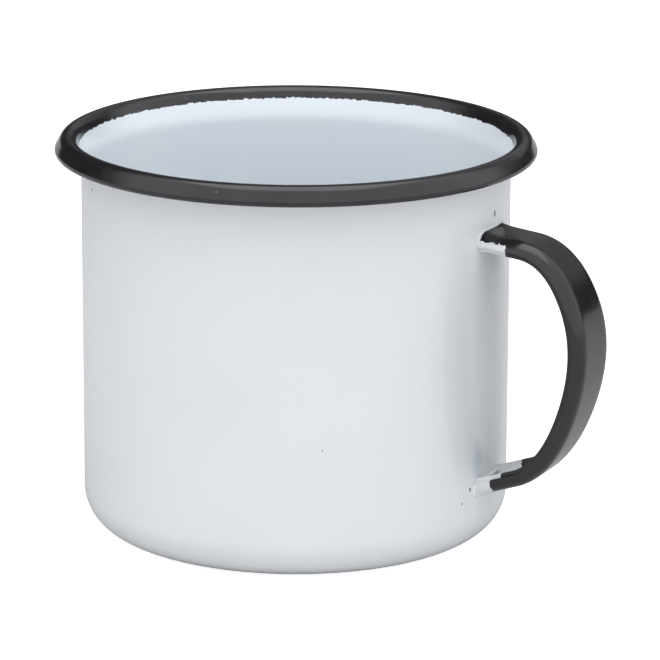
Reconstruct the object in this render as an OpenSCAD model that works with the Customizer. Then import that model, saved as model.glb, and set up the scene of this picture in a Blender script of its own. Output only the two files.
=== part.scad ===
// Enamelled steel mug with a rolled black rim and a black strap handle.
// Millimetres. +Z is up, the mug rests on z = 0, and its axis is the Z axis.
// The handle reaches out along +X.

/* [Cup] */
// Diameter of the straight wall, over the enamel
body_d = 100; // [76:1:140]
// Height from the resting face to the top of the rolled rim
cup_h = 93.8; // [60:0.2:140]
// Radius of the corner between the base and the wall, over the enamel
corner_r = 9.5; // [5:0.5:16]
// Thickness of the pressed steel
steel_t = 0.6; // [0.4:0.1:1.2]
// Thickness of each coat of enamel
coat_t = 0.3; // [0.15:0.05:0.5]

/* [Rolled rim] */
// Radius of the roll at its crest, over the enamel
crest_r = 2.26; // [1.6:0.02:4]
// How far the crest's centre stands out from the wall's outer face
crest_out = 3.02; // [2:0.02:6]
// Radius of the roll at its outer lip, over the enamel
lip_r = 1.15; // [1.1:0.05:2]
// How far the lip's centre stands out from the crest's centre
lip_out = 1.93; // [1:0.01:4]
// How far the lip's centre is below the crest's centre
lip_drop = 1.2; // [0.4:0.05:3]
// Angle of the flare below the roll, away from the wall
flare_a = 22; // [12:1:50]
// Radius of the bend where the wall begins to flare
flare_r = 8; // [3:0.5:14]
// Slit between the end of the curl and the wall's enamel
curl_gap = 0.6; // [0.3:0.1:1.5]
// Length of white flare left above the bend on the inside, below the black
white_flare = 3.3; // [0.5:0.1:4]
// Length of flare coated white above the bend on the outside, behind the lip
neck_coat = 1.5; // [0.5:0.1:3]

/* [Handle] */
// Height of the upper foot's outer face, measured down from the rim's top
upper_drop = 17.2; // [12:0.2:30]
// Height of the lower foot's outer face above the resting face
lower_foot_z = 14.2; // [10:0.2:24]
// Distance of the upper bend from the wall, before rounding
upper_bend_out = 18.5; // [10:0.1:26]
// Drop of the strap from its upper foot to the upper bend
upper_bend_drop = 2.2; // [0:0.2:10]
// Distance of the grip's bend from the wall, before rounding
grip_out = 28.5; // [16:0.1:40]
// Height of the grip's bend above the middle of the two feet
grip_rise = 5.4; // [-8:0.1:10]
// Distance of the lower bend from the wall, before rounding
lower_bend_out = 18.6; // [8:0.1:26]
// Rise of the strap from its lower foot to the lower bend
lower_bend_rise = 6.6; // [0:0.2:12]
// Width of the strap at the upper foot, over the enamel
strap_w_top = 14.2; // [10:0.1:24]
// Width of the strap at the lower foot, over the enamel
strap_w_low = 14.6; // [10:0.1:24]
// How much wider the strap is at the middle of the grip
strap_w_more = 3; // [0:0.1:8]
// Depth of the turned edges, over the enamel
edge_depth = 3.2; // [2.2:0.1:5]
// Thickness of the strap's steel
strap_t = 0.8; // [0.5:0.1:1.2]
// Size of the weld bead under each foot
bead = 1; // [0.6:0.1:1.6]
// Size of the enamel fillet round each foot
fillet = 1; // [0.5:0.1:1.6]

/* [Hidden] */
body_r = body_d / 2;
steel_r = body_r - coat_t;
inner_steel_r = steel_r - steel_t;
wall_t = steel_t + 2 * coat_t;
crest = [body_r + crest_out, cup_h - crest_r];
lip = [crest[0] + lip_out, crest[1] - lip_drop];
lip_bottom = lip[1] - lip_r + coat_t;
lip_span = norm(lip - crest);
lip_a = atan2(-lip_drop, lip_out) + acos((crest_r - lip_r) / lip_span);
flare_n = [cos(180 - flare_a), sin(180 - flare_a)];
flare_x = inner_steel_r + flare_r;
flare_z = (crest * flare_n + crest_r - coat_t - flare_r - flare_x * flare_n[0]) / flare_n[1];
flare_end = arc_point([flare_x, flare_z], flare_r, 180 - flare_a);
slit_x = flare_end[0] + wall_t / cos(flare_a) + curl_gap;
upper_z = cup_h - upper_drop;
grip_z = (upper_z + lower_foot_z) / 2 + grip_rise;
foot_in = 4;
foot_top = [body_r, upper_z];
bend_top = [body_r + upper_bend_out, upper_z - upper_bend_drop];
bend_grip = [body_r + grip_out, grip_z];
bend_low = [body_r + lower_bend_out, lower_foot_z + lower_bend_rise];
foot_low = [body_r, lower_foot_z];
edge_in = edge_depth - coat_t;
reach = body_r + grip_out + 10;
film = coat_t + strap_t;
fine = 96;

white = [0.87, 0.88, 0.89];
black = [0.04, 0.04, 0.045];
steel = [0.55, 0.56, 0.58];

function arc_point(c, r, a) = [c[0] + r * cos(a), c[1] + r * sin(a)];
function arc(c, r, a, b, n) = [for (i = [0:n]) arc_point(c, r, a + (b - a) * i / n)];
function back(p) = [for (i = [len(p) - 1:-1:0]) p[i]];

// The cup's face at depth d behind the steel's inner face, from the centre to the flare
function cup_face(d) = concat(
    [[0, coat_t + steel_t - d]],
    arc([body_r - corner_r, corner_r], corner_r - steel_t - coat_t + d, -90, 0, 12),
    arc([flare_x, flare_z], flare_r - d, 180, 180 - flare_a, 5));

// A point on the flare's straight run, a length above the bend
function flare_run(d, l) = arc_point([flare_x, flare_z], flare_r - d, 180 - flare_a)
    + l * [sin(flare_a), cos(flare_a)];

// The roll's face at depth d, from the flare over the crest and round the lip
function roll_face(d) = concat(
    arc(crest, crest_r - coat_t - d, 180 - flare_a, lip_a, 12),
    arc(lip, lip_r - coat_t - d, lip_a, -90, 8),
    [[slit_x, lip_bottom + d]]);

// One bend of the strap, a parabola between the middles of two straight runs
function bend(a, b, c, t) = (1 - t) * (1 - t) * a + 2 * t * (1 - t) * b + t * t * c;
function bend_way(a, b, c, t) = (1 - t) * (b - a) + t * (c - b);
function inward(v) = [v[1], -v[0]] / norm(v);
function bend_face(a, b, c, d, n) = [for (i = [0:n])
    bend((a + b) / 2, b, (b + c) / 2, i / n)
    + d * inward(bend_way((a + b) / 2, b, (b + c) / 2, i / n))];

// The strap's face at depth d under its outer face, from foot to foot
function strap_face(d) = concat(
    [foot_top - foot_in * (bend_top - foot_top) / norm(bend_top - foot_top)
        + d * inward(bend_top - foot_top)],
    bend_face(foot_top, bend_top, bend_grip, d, 10),
    bend_face(bend_top, bend_grip, bend_low, d, 10),
    bend_face(bend_grip, bend_low, foot_low, d, 10),
    [foot_low + foot_in * (foot_low - bend_low) / norm(foot_low - bend_low)
        + d * inward(foot_low - bend_low)]);

// Half of the strap's width, at a share of the way up from its lower foot to its upper foot
function half_w(s) = (strap_w_low + (strap_w_top - strap_w_low) * s + 4 * strap_w_more * s * (1 - s)) / 2;
function side_point(s, inset, way) = [way * (half_w(s) - inset), lower_foot_z + (upper_z - lower_foot_z) * s];
function side_line(inset, way) = [for (i = [-1:13]) side_point(i / 12, inset, way)];

module spun(outline) {
    rotate_extrude($fn = fine) polygon(outline);
}

module drum(r) {
    translate([0, 0, -1]) cylinder(r = r, h = cup_h + 2, $fn = fine);
}

// Everything between two depths of the strap, and inside its sides by inset
module strap_layer(outer, inner, inset) {
    intersection() {
        rotate([90, 0, 0])
            linear_extrude(strap_w_top * 4, center = true)
                polygon(concat(strap_face(outer), back(strap_face(inner))));
        rotate([90, 0, 90])
            linear_extrude(reach)
                polygon(concat(side_line(inset, 1), back(side_line(inset, -1))));
    }
}

module strap_steel() {
    difference() {
        strap_layer(coat_t, edge_in, coat_t);
        strap_layer(film, edge_depth + 1, film);
        drum(steel_r);
    }
}

// A band on the wall, of the given depth, at the upper or the lower foot
module foot_zone(inner_r, outer_r, low, high) {
    translate([0, 0, low])
        difference() {
            cylinder(r = outer_r, h = high - low, $fn = fine);
            translate([0, 0, -1]) cylinder(r = inner_r, h = high - low + 2, $fn = fine);
        }
}

module weld_bead(low, high) {
    intersection() {
        strap_layer(film, film + bead, film);
        foot_zone(steel_r, steel_r + bead + coat_t, low, high);
    }
}

module enamel_fillet(low, high) {
    intersection() {
        difference() {
            strap_layer(-fillet, edge_depth + fillet, -fillet);
            strap_layer(0, edge_depth, 0);
        }
        foot_zone(body_r, body_r + fillet, low, high);
    }
}

module cup_shell() {
    color(steel)
        spun(concat(cup_face(0), roll_face(0), back(roll_face(steel_t)), back(cup_face(steel_t))));
}

module white_outer_coat() {
    color(white)
        difference() {
            spun(concat(cup_face(steel_t + coat_t),
                [flare_run(steel_t + coat_t, neck_coat), flare_run(steel_t, neck_coat)], back(cup_face(steel_t))));
            strap_steel();
            weld_bead(grip_z, upper_z + 5);
            weld_bead(1, grip_z);
        }
}

module white_inner_coat() {
    color(white)
        spun(concat(cup_face(-coat_t),
            [flare_run(-coat_t, white_flare), flare_run(0, white_flare)], back(cup_face(0))));
}

module rim_black_coat() {
    color(black)
        spun(concat([flare_run(-coat_t, white_flare)], roll_face(-coat_t),
            back(roll_face(0)), [flare_run(0, white_flare)]));
}

module handle_strap() {
    color(steel) strap_steel();
}

module handle_black_coat() {
    color(black)
        difference() {
            strap_layer(0, edge_depth, 0);
            strap_layer(coat_t, edge_in, coat_t);
            strap_layer(film, edge_depth + 1, film);
            drum(body_r);
        }
}

module handle_inner_coat() {
    color(white)
        difference() {
            strap_layer(film, edge_in, film);
            difference() {
                strap_layer(film + coat_t, edge_depth + 1, film + coat_t);
                intersection() {
                    strap_layer(film, film + bead + coat_t, film);
                    drum(body_r + bead + coat_t);
                }
            }
            weld_bead(grip_z, upper_z + 5);
            weld_bead(1, grip_z);
            drum(body_r);
        }
}

module upper_weld() {
    color(steel) weld_bead(grip_z, upper_z + 5);
}

module lower_weld() {
    color(steel) weld_bead(1, grip_z);
}

module upper_foot_fillet() {
    color(white) enamel_fillet(grip_z, upper_z + 5);
}

module lower_foot_fillet() {
    color(white) enamel_fillet(1, grip_z);
}

cup_shell();
white_outer_coat();
white_inner_coat();
rim_black_coat();
handle_strap();
handle_black_coat();
handle_inner_coat();
upper_weld();
lower_weld();
upper_foot_fillet();
lower_foot_fillet();
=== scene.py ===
import math

import bmesh
import bpy
import numpy as np
from mathutils import Matrix, Vector, noise


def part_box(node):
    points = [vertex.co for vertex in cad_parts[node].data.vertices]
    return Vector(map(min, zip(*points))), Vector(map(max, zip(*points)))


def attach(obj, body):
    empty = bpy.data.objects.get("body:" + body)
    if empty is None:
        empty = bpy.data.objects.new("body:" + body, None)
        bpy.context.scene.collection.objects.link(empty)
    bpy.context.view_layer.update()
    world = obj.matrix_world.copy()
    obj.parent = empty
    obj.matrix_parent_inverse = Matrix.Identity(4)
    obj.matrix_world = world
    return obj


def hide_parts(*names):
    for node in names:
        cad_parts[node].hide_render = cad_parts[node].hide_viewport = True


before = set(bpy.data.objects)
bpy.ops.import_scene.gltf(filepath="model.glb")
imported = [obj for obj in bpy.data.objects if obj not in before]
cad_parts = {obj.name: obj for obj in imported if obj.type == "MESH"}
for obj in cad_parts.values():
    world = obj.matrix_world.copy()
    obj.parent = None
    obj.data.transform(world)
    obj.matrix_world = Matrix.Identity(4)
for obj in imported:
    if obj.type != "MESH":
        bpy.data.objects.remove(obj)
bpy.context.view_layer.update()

MM = 0.001

# Edges that turn more than this are shaded as edges
SHARP = math.radians(40)

# The frame's own rim, which gives the cup's radius and height
RIM_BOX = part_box("rim_black_coat")

# Enamel and steel, as built
COAT = 0.3 * MM
STEEL = 0.6 * MM
WALL = STEEL + 2 * COAT
CORNER_R = 9.5 * MM

# The rolled rim
CREST_R = 2.26 * MM
LIP_R = 1.15 * MM
CREST_OUT = 3.02 * MM
LIP_OUT = 1.93 * MM
LIP_DROP = 1.2 * MM
FLARE_A = math.radians(22)
FLARE_R = 8 * MM
PAINT_LINE = 3.3 * MM
NECK_COAT = 1.5 * MM
CURL_GAP = 0.6 * MM
RIM_TOP = RIM_BOX[1].z
BODY_R = RIM_BOX[1].x - CREST_OUT - LIP_OUT - LIP_R
CREST = (BODY_R + CREST_OUT, RIM_TOP - CREST_R)
LIP = (CREST[0] + LIP_OUT, CREST[1] - LIP_DROP)
LIP_A = math.atan2(-LIP_DROP, LIP_OUT)
LIP_A += math.acos((CREST_R - LIP_R) / math.hypot(LIP_OUT, LIP_DROP))

# How finely the cup is turned, and how uneven its wall is
SEGMENTS = 288
UNEVEN = 0.12 * MM
UNEVEN_ROUND = 1.6
UNEVEN_UP = 22

# The handle, which runs between two feet through three control points
UPPER_DROP = 17.2 * MM
UPPER_BEND_OUT = 18.5 * MM
UPPER_BEND_DROP = 2.2 * MM
GRIP_OUT = 28.5 * MM
GRIP_RISE = 5.4 * MM
LOWER_BEND_OUT = 18.6 * MM
LOWER_BEND_RISE = 6.6 * MM
UPPER_Z = RIM_TOP - UPPER_DROP
LOWER_Z = 14.2 * MM
GRIP_Z = (UPPER_Z + LOWER_Z) / 2 + GRIP_RISE
UPPER_INTO_WALL = 1.6 * MM
LOWER_INTO_WALL = 1.4 * MM
STRAP_TOP_W = 14.2 * MM
STRAP_LOW_W = 14.6 * MM
STRAP_MORE_W = 3 * MM
EDGE_DEPTH = 3.2 * MM
STRAP_T = 1.15 * MM
STRAP_BEND = 2.9 * MM
SWELL = 0.35 * MM
SWELL_RUN = 0.9 * MM
CONTROL = [
    (BODY_R, UPPER_Z),
    (BODY_R + UPPER_BEND_OUT, UPPER_Z - UPPER_BEND_DROP),
    (BODY_R + GRIP_OUT, GRIP_Z),
    (BODY_R + LOWER_BEND_OUT, LOWER_Z + LOWER_BEND_RISE),
    (BODY_R, LOWER_Z),
]

# The view
AZIMUTH = math.radians(25.5)
ELEVATION = math.radians(15.25)
ROLL = math.radians(0.295)
DISTANCE = 1.0
LENS = 232.2
TARGET_RIGHT = 8.044 * MM
TARGET_UP = 46.37 * MM

# The enamel at the feet
BEAD = 0.5 * MM
BEAD_SQUARE = 0.55
BEAD_POINTS = 96
BEAD_ROUND = 12

# The studio
FLOOR_GREY = 0.6
FLOOR_GLOW = 0.85
SKY_DIM = 0.03
SKY_BRIGHT = 1.22
SKY_BEHIND = 0.3
LAMP_SIZE = 0.9
LAMP_POWER = 3.4


# ---------------------------------------------------------------- meshes
def arc(centre, radius, start, end, count):
    """Points along an arc, ends included."""
    steps = [start + (end - start) * i / count for i in range(count + 1)]
    return [(centre[0] + radius * math.cos(a), centre[1] + radius * math.sin(a)) for a in steps]


def lean():
    """Centre of the bend where the wall begins to flare."""
    n = (math.cos(math.pi - FLARE_A), math.sin(math.pi - FLARE_A))
    x = BODY_R - COAT - STEEL + FLARE_R
    z = (CREST[0] * n[0] + CREST[1] * n[1] + CREST_R - COAT - FLARE_R - x * n[0]) / n[1]
    return x, z


def cup_face(depth):
    """The cup's face at a depth outward from its inner steel face, from base to flare."""
    corner = (BODY_R - CORNER_R, CORNER_R)
    radius = CORNER_R - STEEL - COAT + depth
    rise = lean()[1] - CORNER_R
    wall = [(BODY_R - COAT - STEEL + depth, CORNER_R + rise * i / 24) for i in range(1, 24)]
    base = [((BODY_R - CORNER_R) * i / 8, COAT + STEEL - depth) for i in range(9)]
    return (
        base[:-1]
        + arc(corner, radius, -math.pi / 2, 0, 24)
        + wall
        + arc(lean(), FLARE_R - depth, math.pi, math.pi - FLARE_A, 10)
    )


def on_flare(depth, length):
    """A point up the straight part of the flare."""
    a = math.pi - FLARE_A
    x, z = arc(lean(), FLARE_R - depth, a, a, 1)[0]
    return (x + length * math.sin(FLARE_A), z + length * math.cos(FLARE_A))


def roll_face(depth):
    """The rolled rim's face, from the flare over the crest and lip to the slit."""
    slit = on_flare(0, 0)[0] + WALL / math.cos(FLARE_A) + CURL_GAP
    return (
        arc(CREST, CREST_R - COAT - depth, math.pi - FLARE_A, LIP_A, 28)
        + arc(LIP, LIP_R - COAT - depth, LIP_A, -math.pi / 2, 18)
        + [(slit, LIP[1] - LIP_R + COAT + depth)]
    )


def make(name, bm, material, body="root"):
    """A finished mesh as an object that rides on its body."""
    bmesh.ops.remove_doubles(bm, verts=bm.verts, dist=1e-7)
    if bm.calc_volume(signed=True) < 0:
        bmesh.ops.reverse_faces(bm, faces=bm.faces)
    for edge in bm.edges:
        edge.smooth = edge.calc_face_angle(0) < SHARP
    mesh = bpy.data.meshes.new(name)
    bm.to_mesh(mesh)
    bm.free()
    for p in mesh.polygons:
        p.use_smooth = True
    obj = bpy.data.objects.new(name, mesh)
    bpy.context.scene.collection.objects.link(obj)
    mesh.materials.append(material)
    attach(obj, body)
    return obj


def hand_made(angle, z, amount):
    """The small unevenness of a pressed and fired wall, always inward."""
    p = Vector((math.cos(angle) * UNEVEN_ROUND, math.sin(angle) * UNEVEN_ROUND, z * UNEVEN_UP))
    return -amount * (0.5 + 0.5 * noise.noise(p))


def lathe(name, outline, material, amount, segments=SEGMENTS):
    """A closed outline turned round the cup's axis."""
    bm = bmesh.new()
    rings = []
    for r, z in outline:
        if r < 1e-9:
            rings.append([bm.verts.new((0, 0, z))] * segments)
            continue
        ring = []
        for k in range(segments):
            a = 2 * math.pi * k / segments
            rr = r + (hand_made(a, z, amount) if r > BODY_R * 0.7 else 0)
            ring.append(bm.verts.new((rr * math.cos(a), rr * math.sin(a), z)))
        rings.append(ring)
    for i in range(len(rings)):
        one, two = rings[i], rings[(i + 1) % len(rings)]
        for k in range(segments):
            quad = [one[k], one[(k + 1) % segments], two[(k + 1) % segments], two[k]]
            seen = list(dict.fromkeys(quad))
            if len(seen) > 2:
                bm.faces.new(seen)
    return make(name, bm, material)


def strap_frames(count):
    """Points of the strap's outer face, with the way in towards the cup, from foot to foot."""
    c = [np.array(p) for p in CONTROL]
    first, last = c[1] - c[0], c[4] - c[3]
    start = c[0] - first / np.linalg.norm(first) * UPPER_INTO_WALL
    stop = c[4] + last / np.linalg.norm(last) * LOWER_INTO_WALL
    runs = [(start, (start + (c[0] + c[1]) / 2) / 2, (c[0] + c[1]) / 2)]
    runs += [((c[i - 1] + c[i]) / 2, c[i], (c[i] + c[i + 1]) / 2) for i in (1, 2, 3)]
    runs += [((c[3] + c[4]) / 2, (stop + (c[3] + c[4]) / 2) / 2, stop)]
    frames = []
    for k, (a, b, d) in enumerate(runs):
        for i in range(count + (k == len(runs) - 1)):
            t = i / count
            p = (1 - t) ** 2 * a + 2 * t * (1 - t) * b + t * t * d
            v = (1 - t) * (b - a) + t * (d - b)
            v = v / np.linalg.norm(v)
            frames.append((p, np.array((v[1], -v[0]))))
    return frames


def half_width(z):
    """Half the strap's width at a height: widest between the feet."""
    share = (z - LOWER_Z) / (UPPER_Z - LOWER_Z)
    wide = STRAP_LOW_W + (STRAP_TOP_W - STRAP_LOW_W) * share
    return (wide + 4 * STRAP_MORE_W * share * (1 - share)) / 2


def channel_section(half, out, inner, depth_end):
    """Outline (across, depth) of the strap with its turned edges, between two depths."""
    bend = STRAP_BEND
    flat = half - bend
    outer = [(0, out), (flat * 0.4, out), (flat * 0.8, out)]
    outer += [(x, -d) for x, d in arc((flat, -(out + bend)), bend, math.pi / 2, 0, 8)]
    tip = (inner - out) / 2
    ends = [
        (half - tip + tip * math.cos(a), depth_end - tip + tip * math.sin(a))
        for a in [math.pi * i / 8 for i in range(9)]
    ]
    small = max(bend - (inner - out), 0.25 * MM)
    side = half - (inner - out)
    inside = [(x, -d) for x, d in arc((side - small, -(inner + small)), small, 0, math.pi / 2, 6)]
    right = outer + [(half, (depth_end + out + bend) / 2)] + ends
    right += [(side, (depth_end + inner) / 2)] + inside + [(flat * 0.4, inner), (0, inner)]
    left = [(-x, d) for x, d in reversed(right[1:-1])]
    return right + left


def sweep(name, section, material, count=26):
    """A closed section carried along the strap, with its ends inside the wall."""
    bm = bmesh.new()
    rings = []
    for p, way in strap_frames(count):
        swell = SWELL * math.exp(-max(p[0] - BODY_R, 0) / SWELL_RUN)
        ring = []
        for across, depth in section(half_width(p[1])):
            d = depth - swell * (1 - 2 * depth / EDGE_DEPTH)
            q = p + way * d
            y = across * (1 + swell / half_width(p[1]) * 0.6)
            ring.append(bm.verts.new((q[0], y, q[1])))
        rings.append(ring)
    n = len(rings[0])
    for one, two in zip(rings, rings[1:]):
        for k in range(n):
            bm.faces.new([one[k], one[(k + 1) % n], two[(k + 1) % n], two[k]])
    bm.faces.new(reversed(rings[0]))
    bm.faces.new(rings[-1])
    return make(name, bm, material)


def foot_bead(name, z, towards, material):
    """Enamel gathered round one foot of the strap, where it meets the wall."""
    bm = bmesh.new()
    half = half_width(z) + 0.1 * MM
    depth = EDGE_DEPTH / 2
    middle = z - depth * towards
    loop, count = [], BEAD_POINTS
    for k in range(count):
        a = 2 * math.pi * k / count
        y = half * math.copysign(abs(math.cos(a)) ** BEAD_SQUARE, math.cos(a))
        h = (depth + 0.2 * MM) * math.copysign(abs(math.sin(a)) ** BEAD_SQUARE, math.sin(a))
        loop.append((y, middle + h))
    rings = []
    for k, (y, h) in enumerate(loop):
        before, after = loop[k - 1], loop[(k + 1) % count]
        t = Vector((after[0] - before[0], after[1] - before[1])).normalized()
        out = Vector((t.y, -t.x))
        thick = BEAD * (1 + 0.25 * noise.noise(Vector((y * 400, h * 400, z * 90))))
        ring = []
        for i in range(BEAD_ROUND):
            b = 2 * math.pi * i / BEAD_ROUND
            py = y + out.x * thick * math.cos(b)
            pz = h + out.y * thick * math.cos(b)
            x = math.sqrt(max(BODY_R**2 - py**2, 0)) + 0.75 * thick * math.sin(b)
            ring.append(bm.verts.new((x, py, pz)))
        rings.append(ring)
    for k in range(count):
        one, two = rings[k], rings[(k + 1) % count]
        for i in range(BEAD_ROUND):
            j = (i + 1) % BEAD_ROUND
            bm.faces.new([one[i], one[j], two[j], two[i]])
    return make(name, bm, material)


# ---------------------------------------------------------------- materials
NOISE_LOW, NOISE_HIGH = 0.3, 0.7
ENAMEL_IOR = 1.56
RIPPLE_HEIGHT = 0.4 * MM
SPECK = (0.16, 0.15, 0.14, 1)
DUST = (0.3, 0.3, 0.3, 1)
THIN_BLUE = (0.50, 0.64, 0.76, 1)
BARE = (0.035, 0.035, 0.045, 1)
STEEL_DARK = (0.38, 0.38, 0.39, 1)
STEEL_PALE = (0.52, 0.52, 0.53, 1)


def node(tree, kind, inputs=None, **props):
    """A new node, whose inputs are linked where they are sockets and set where they are values."""
    n = tree.nodes.new(kind)
    for key, value in props.items():
        setattr(n, key, value)
    for key, value in (inputs or {}).items():
        if isinstance(value, bpy.types.NodeSocket):
            tree.links.new(value, n.inputs[key])
        else:
            n.inputs[key].default_value = value
    return n


def calc(tree, operation, a, b=0.0):
    """Arithmetic on numbers."""
    return node(tree, "ShaderNodeMath", {0: a, 1: b}, operation=operation).outputs[0]


def vector(tree, operation, a, b=(0, 0, 0)):
    """Arithmetic on vectors, which gives a number for a length or a dot product."""
    out = node(tree, "ShaderNodeVectorMath", {0: a, 1: b}, operation=operation).outputs
    return out["Value"] if operation in ("LENGTH", "DOT_PRODUCT") else out[0]


def on_object(tree):
    return node(tree, "ShaderNodeTexCoord").outputs["Object"]


def blur(tree, scale, detail=3.0, seed=0.0):
    """Soft noise, from another part of the pattern for each seed."""
    moved = vector(tree, "ADD", on_object(tree), (seed, seed * 0.7, -seed))
    cloud = node(tree, "ShaderNodeTexNoise", {"Vector": moved, "Scale": scale, "Detail": detail})
    return cloud.outputs["Fac"]


def spread(tree, value, low, high):
    """Noise stretched to run from low to high."""
    ends = {"From Min": NOISE_LOW, "From Max": NOISE_HIGH, "To Min": low, "To Max": high}
    return node(tree, "ShaderNodeMapRange", {"Value": value, **ends}).outputs[0]


def ramp(tree, value, low, high):
    """0 at low and 1 at high, which may be the smaller of the two."""
    ends = {"From Min": low, "From Max": high}
    return node(tree, "ShaderNodeMapRange", {"Value": value, **ends}).outputs[0]


def mix(tree, share, one, two):
    """One colour turning into another."""
    n = node(tree, "ShaderNodeMix", data_type="RGBA")
    sockets = {s.identifier: s for s in n.inputs}
    for key, value in (("Factor_Float", share), ("A_Color", one), ("B_Color", two)):
        if isinstance(value, bpy.types.NodeSocket):
            tree.links.new(value, sockets[key])
        else:
            sockets[key].default_value = value
    return {s.identifier: s for s in n.outputs}["Result_Color"]


def specks(tree, scale, share, size, seed):
    """Scattered dots: a small part of the cells of a random grid each holds one."""
    moved = vector(tree, "ADD", on_object(tree), (seed, seed, seed))
    cells = node(tree, "ShaderNodeTexVoronoi", {"Vector": moved, "Scale": scale})
    pick = node(tree, "ShaderNodeSeparateColor", {"Color": cells.outputs["Color"]}).outputs[0]
    few = calc(tree, "GREATER_THAN", pick, 1 - share)
    near = ramp(tree, cells.outputs["Distance"], size, size * 0.5)
    return calc(tree, "MULTIPLY", few, near)


def wall_point(angle, z):
    """A point on the cup's wall, by its angle round from the handle and its height."""
    return (BODY_R * math.cos(angle), BODY_R * math.sin(angle), z)


def away_from(tree, at, wide, tall):
    """Distance from a point, counted in a patch's own width and height."""
    offset = vector(tree, "SUBTRACT", on_object(tree), at)
    return vector(tree, "LENGTH", vector(tree, "MULTIPLY", offset, (1 / wide, 1 / wide, 1 / tall)))


def chip_mask(tree, chips):
    """Small chips in the enamel, each with a place, a width and a height."""
    wobble = calc(tree, "MULTIPLY", calc(tree, "SUBTRACT", blur(tree, 1800), 0.5), 1.4)
    total = None
    for chip in chips:
        here = ramp(tree, calc(tree, "ADD", away_from(tree, *chip), wobble), 1.25, 0.75)
        total = here if total is None else calc(tree, "MAXIMUM", total, here)
    return total


def enamel(name, white=None, black=None, black_share=None, chips=(), thin=None, ripple=0.1):
    """Glass fused to steel: a smooth, slightly rippled gloss, white, black or both."""
    material = bpy.data.materials.new(name)
    material.use_nodes = True
    tree = material.node_tree
    shader = tree.nodes["Principled BSDF"]
    colour, rough = None, None
    if white:
        cool = tuple(c * k for c, k in zip(white, (0.965, 0.98, 1.0))) + (1,)
        colour = mix(tree, spread(tree, blur(tree, 38), 0, 1), (*white, 1), cool)
        dots = specks(tree, 230, 0.012, 0.10, 3.1)
        colour = mix(tree, calc(tree, "MULTIPLY", dots, 0.55), colour, SPECK)
        rough = spread(tree, blur(tree, 150, seed=2.0), 0.13, 0.22)
    if black:
        warm = tuple(c * k for c, k in zip(black, (1.8, 1.6, 1.5))) + (1,)
        dark = mix(tree, spread(tree, blur(tree, 120, seed=4.0), 0, 1), (*black, 1), warm)
        dust = specks(tree, 420, 0.02, 0.13, 1.7)
        dark = mix(tree, calc(tree, "MULTIPLY", dust, 0.35), dark, DUST)
        dull = spread(tree, blur(tree, 260, seed=5.0), 0.10, 0.2)
        if white:
            share = black_share(tree)
            colour = mix(tree, share, colour, dark)
            ends = {"Value": share, "To Min": rough, "To Max": dull}
            rough = node(tree, "ShaderNodeMapRange", ends).outputs[0]
        else:
            colour, rough = dark, dull
    if thin:
        cloud = spread(tree, blur(tree, 500), 0.3, 0.75)
        pale = calc(tree, "MULTIPLY", ramp(tree, away_from(tree, *thin), 1.0, 0.0), cloud)
        colour = mix(tree, pale, colour, THIN_BLUE)
    if chips:
        colour = mix(tree, chip_mask(tree, chips), colour, BARE)
    small = calc(tree, "MULTIPLY", blur(tree, 420, seed=7.0), 0.35)
    wave = calc(tree, "ADD", small, blur(tree, 90, 1.0, 8.0))
    bumps = {"Height": wave, "Strength": ripple, "Distance": RIPPLE_HEIGHT}
    tree.links.new(colour, shader.inputs["Base Color"])
    tree.links.new(rough, shader.inputs["Roughness"])
    tree.links.new(node(tree, "ShaderNodeBump", bumps).outputs[0], shader.inputs["Normal"])
    shader.inputs["IOR"].default_value = ENAMEL_IOR
    return material


def place_parts(tree):
    """The height of a place, and its distance from the cup's axis."""
    place = on_object(tree)
    xyz = node(tree, "ShaderNodeSeparateXYZ", {0: place})
    flat = vector(tree, "MULTIPLY", place, (1, 1, 0))
    return xyz.outputs[2], vector(tree, "LENGTH", flat)


def ragged(tree, coarse, fine):
    """An uneven edge's shift in metres, from brushed or dipped paint."""
    a = calc(tree, "MULTIPLY", calc(tree, "SUBTRACT", blur(tree, 130, 2.0, 11.0), 0.5), coarse)
    b = calc(tree, "MULTIPLY", calc(tree, "SUBTRACT", blur(tree, 1300, 2.0, 12.0), 0.5), fine)
    return calc(tree, "ADD", a, b)


def rim_share(tree):
    """Black on the roll, down to the ragged line on the inside of the flare."""
    z, radius = place_parts(tree)
    line = on_flare(0, PAINT_LINE - 0.4 * MM)[1]
    level = calc(tree, "ADD", z, ragged(tree, 0.35 * MM, 1.1 * MM))
    above = ramp(tree, level, line - 0.04 * MM, line + 0.04 * MM)
    outside = calc(tree, "GREATER_THAN", radius, CREST[0] - 1.2 * MM)
    return calc(tree, "MAXIMUM", above, outside)


def foot_share(reach):
    """Black on the strap from a ragged line at this distance from the wall."""

    def share(tree):
        _, radius = place_parts(tree)
        level = calc(tree, "ADD", radius, ragged(tree, 0.8 * MM, 0.8 * MM))
        return ramp(tree, level, BODY_R + reach - 0.05 * MM, BODY_R + reach + 0.05 * MM)

    return share


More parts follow.
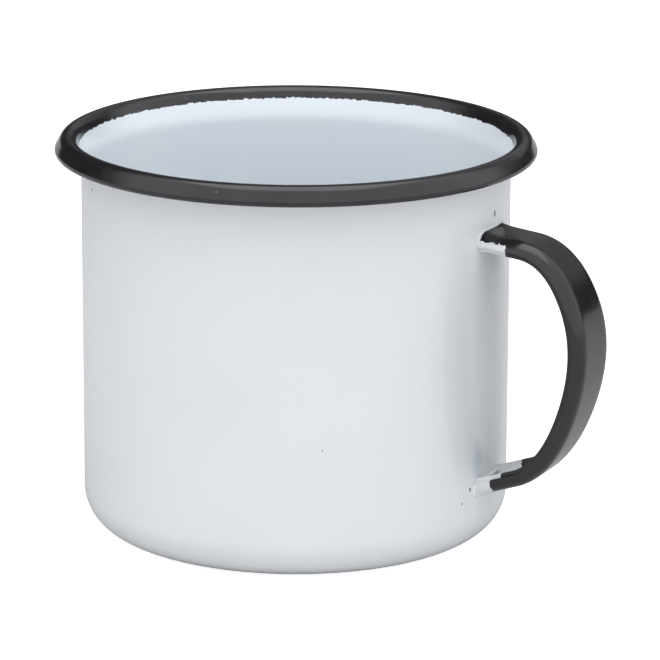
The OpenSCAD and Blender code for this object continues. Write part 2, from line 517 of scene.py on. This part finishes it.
def strap_share(tree):
    """Black on the strap, but white low on its turned edges near the upper foot."""
    z, radius = place_parts(tree)
    out = calc(tree, "SUBTRACT", radius, BODY_R)
    face = calc(tree, "SUBTRACT", UPPER_Z, calc(tree, "MULTIPLY", out, 0.12))
    depth = calc(tree, "SUBTRACT", face, z)
    depth = calc(tree, "ADD", depth, ragged(tree, 0.9 * MM, 1.7 * MM))
    low = ramp(tree, depth, 1.35 * MM, 1.45 * MM)
    near = calc(tree, "ADD", out, ragged(tree, 0.8 * MM, 0.8 * MM))
    near = ramp(tree, near, 6.6 * MM, 6.4 * MM)
    upper = calc(tree, "GREATER_THAN", z, GRIP_Z)
    white = calc(tree, "MULTIPLY", calc(tree, "MULTIPLY", low, near), upper)
    away = calc(tree, "ADD", out, ragged(tree, 1.0 * MM, 0.8 * MM))
    away = ramp(tree, away, 3.8 * MM, 3.9 * MM)
    foot = calc(tree, "MULTIPLY", upper, foot_share(0.2 * MM)(tree))
    black = calc(tree, "MAXIMUM", away, foot)
    return calc(tree, "MULTIPLY", black, calc(tree, "SUBTRACT", 1.0, white))


def raw_steel():
    """Bare pressed steel, which the enamel hides."""
    material = bpy.data.materials.new("steel")
    material.use_nodes = True
    tree = material.node_tree
    shader = tree.nodes["Principled BSDF"]
    colour = mix(tree, spread(tree, blur(tree, 300), 0, 1), STEEL_DARK, STEEL_PALE)
    tree.links.new(colour, shader.inputs["Base Color"])
    tree.links.new(spread(tree, blur(tree, 700, seed=1.0), 0.35, 0.55), shader.inputs["Roughness"])
    shader.inputs["Metallic"].default_value = 1.0
    return material


# ---------------------------------------------------------------- the object
# Where the small chips are, as angles round the cup from the handle
CHIP_ABOVE_FOOT = math.radians(1.2)
CHIP_BELOW_FOOT = math.radians(-10.5)
CHIP_LOW = math.radians(-14)
CHIP_LEFT = math.radians(-133)
CHIP_FRONT = math.radians(-57)
THIN_PATCH = math.radians(-6.8)

WHITE = (0.80, 0.805, 0.81)
INNER_WHITE = (0.76, 0.795, 0.82)
BLACK = (0.010, 0.010, 0.012)


def build():
    """The mug: its enamel, its strap and the CAD's own steel."""
    # Each chip: its place, its width and its height
    wall_chips = [
        (wall_point(CHIP_ABOVE_FOOT, UPPER_Z + 3.0 * MM), 0.4 * MM, 0.75 * MM),
        (wall_point(CHIP_BELOW_FOOT, LOWER_Z + 2.2 * MM), 0.26 * MM, 0.55 * MM),
        (wall_point(CHIP_LOW, LOWER_Z - 0.4 * MM), 0.22 * MM, 0.26 * MM),
        (wall_point(CHIP_LEFT, UPPER_Z + 7.6 * MM), 0.3 * MM, 0.4 * MM),
        (wall_point(CHIP_FRONT, LOWER_Z + 17.5 * MM), 0.17 * MM, 0.17 * MM),
    ]
    thin_patch = (wall_point(THIN_PATCH, LOWER_Z + 8.5 * MM), 2.6 * MM, 6.0 * MM)
    body_white = enamel("white_enamel_outside", WHITE, chips=wall_chips, thin=thin_patch)
    inner_white = enamel("white_enamel_inside", INNER_WHITE)
    rim = enamel("rim_enamel", INNER_WHITE, BLACK, rim_share, ripple=0.16)
    strap = enamel("strap_enamel", WHITE, BLACK, strap_share, ripple=0.16)
    lining = enamel("lining_enamel", WHITE, BLACK, foot_share(6.0 * MM), ripple=0.16)
    bead = enamel("bead_enamel", WHITE, ripple=0.16)
    steel = raw_steel()

    joint = PAINT_LINE - 1.6 * MM
    white_top = on_flare(0, joint)
    neck = [on_flare(STEEL + COAT, NECK_COAT), on_flare(STEEL, NECK_COAT)]
    outside = cup_face(STEEL + COAT) + neck + list(reversed(cup_face(STEEL)))
    black_foot = on_flare(-COAT, joint)
    inside = cup_face(-COAT) + [black_foot, white_top] + list(reversed(cup_face(0)))
    roll = [black_foot] + roll_face(-COAT) + list(reversed(roll_face(0))) + [white_top]
    outer = lathe("outer_enamel", outside, body_white, UNEVEN)
    inner = lathe("inner_enamel", inside, inner_white, UNEVEN)
    top = lathe("rim_enamel_roll", roll, rim, UNEVEN)
    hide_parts("white_outer_coat")
    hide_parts("white_inner_coat")
    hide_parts("rim_black_coat")

    grip = sweep(
        "handle_strap_enamelled",
        lambda half: channel_section(half, 0, STRAP_T, EDGE_DEPTH),
        strap,
    )
    film = sweep(
        "handle_channel_lining",
        lambda half: channel_section(half - STRAP_T, STRAP_T, STRAP_T + COAT, EDGE_DEPTH - COAT),
        lining,
    )
    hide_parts("handle_black_coat", "handle_strap")
    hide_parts("handle_inner_coat")
    high = foot_bead("upper_foot_enamel", UPPER_Z, 1, bead)
    low = foot_bead("lower_foot_enamel", LOWER_Z, -1, bead)
    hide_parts("upper_foot_fillet")
    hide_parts("lower_foot_fillet")
    for name in ("cup_shell", "upper_weld", "lower_weld"):
        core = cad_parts[name]
        core.data.materials.clear()
        core.data.materials.append(steel)


# ---------------------------------------------------------------- the studio
def floor():
    """A plain floor that the camera sees as white."""
    bm = bmesh.new()
    bmesh.ops.create_grid(bm, x_segments=2, y_segments=2, size=8)
    mesh = bpy.data.meshes.new("floor")
    bm.to_mesh(mesh)
    bm.free()
    obj = bpy.data.objects.new("floor", mesh)
    obj.location.z = -0.05 * MM
    bpy.context.scene.collection.objects.link(obj)
    material = bpy.data.materials.new("floor")
    material.use_nodes = True
    tree = material.node_tree
    shader = tree.nodes["Principled BSDF"]
    shader.inputs["Base Color"].default_value = (FLOOR_GREY, FLOOR_GREY, FLOOR_GREY, 1)
    shader.inputs["Roughness"].default_value = 0.9
    seen = node(tree, "ShaderNodeLightPath").outputs["Is Camera Ray"]
    shader.inputs["Emission Color"].default_value = (1, 1, 1, 1)
    tree.links.new(calc(tree, "MULTIPLY", seen, FLOOR_GLOW), shader.inputs["Emission Strength"])
    mesh.materials.append(material)


def lamp(name, place, aim, size, power):
    """A square soft light."""
    light = bpy.data.lights.new(name, "AREA")
    light.shape = "RECTANGLE"
    light.size = size
    light.size_y = size
    light.energy = power
    obj = bpy.data.objects.new(name, light)
    obj.location = place
    obj.rotation_euler = (Vector(aim) - Vector(place)).to_track_quat("-Z", "Y").to_euler()
    bpy.context.scene.collection.objects.link(obj)


def around(right, back, up):
    """A place given across the view, away from the viewer, and up."""
    r = Vector((math.cos(AZIMUTH), math.sin(AZIMUTH), 0))
    b = Vector((-math.sin(AZIMUTH), math.cos(AZIMUTH), 0))
    return r * right + b * back + Vector((0, 0, up))


def studio():
    """A sky that is bright on the viewer's side, with a weak strip behind, and one soft lamp."""
    world = bpy.data.worlds.new("studio")
    bpy.context.scene.world = world
    world.use_nodes = True
    tree = world.node_tree
    toward = node(tree, "ShaderNodeTexCoord").outputs["Generated"]
    viewer = tuple(around(0.2, -1, 0.45))
    facing = vector(tree, "DOT_PRODUCT", toward, viewer)
    ends = {"From Min": -0.42, "From Max": 0.15, "To Min": SKY_DIM, "To Max": SKY_BRIGHT}
    ends["Value"] = facing
    level = node(tree, "ShaderNodeMapRange", ends, interpolation_type="SMOOTHSTEP").outputs[0]
    height = node(tree, "ShaderNodeSeparateXYZ", {0: toward}).outputs[2]
    side = vector(tree, "DOT_PRODUCT", toward, tuple(around(1, 0, 0)))
    behind = calc(tree, "MULTIPLY", ramp(tree, height, 0.12, 0.26), ramp(tree, side, -0.25, 0.1))
    behind = calc(tree, "MULTIPLY", behind, SKY_BEHIND)
    level = calc(tree, "MAXIMUM", level, behind)
    sky = tree.nodes["Background"]
    sky.inputs["Color"].default_value = (0.95, 0.97, 1, 1)
    tree.links.new(level, sky.inputs["Strength"])
    aim = around(0, 0, 0.05)
    lamp("top_softbox", around(0, -0.1, 1.0), aim, LAMP_SIZE, LAMP_POWER)


def camera():
    """The photograph's view."""
    data = bpy.data.cameras.new("camera")
    data.lens = LENS
    data.sensor_width = 36
    data.clip_start, data.clip_end = 0.01, 100
    obj = bpy.data.objects.new("camera", data)
    target = around(TARGET_RIGHT, 0, TARGET_UP)
    forward = around(0, math.cos(ELEVATION), -math.sin(ELEVATION))
    turn = forward.to_track_quat("-Z", "Y").to_matrix().to_4x4() @ Matrix.Rotation(ROLL, 4, "Z")
    obj.matrix_world = Matrix.Translation(target - forward * DISTANCE) @ turn
    bpy.context.scene.collection.objects.link(obj)
    bpy.context.scene.camera = obj
    bpy.context.scene.view_settings.view_transform = "Standard"


build()
floor()
studio()
camera()
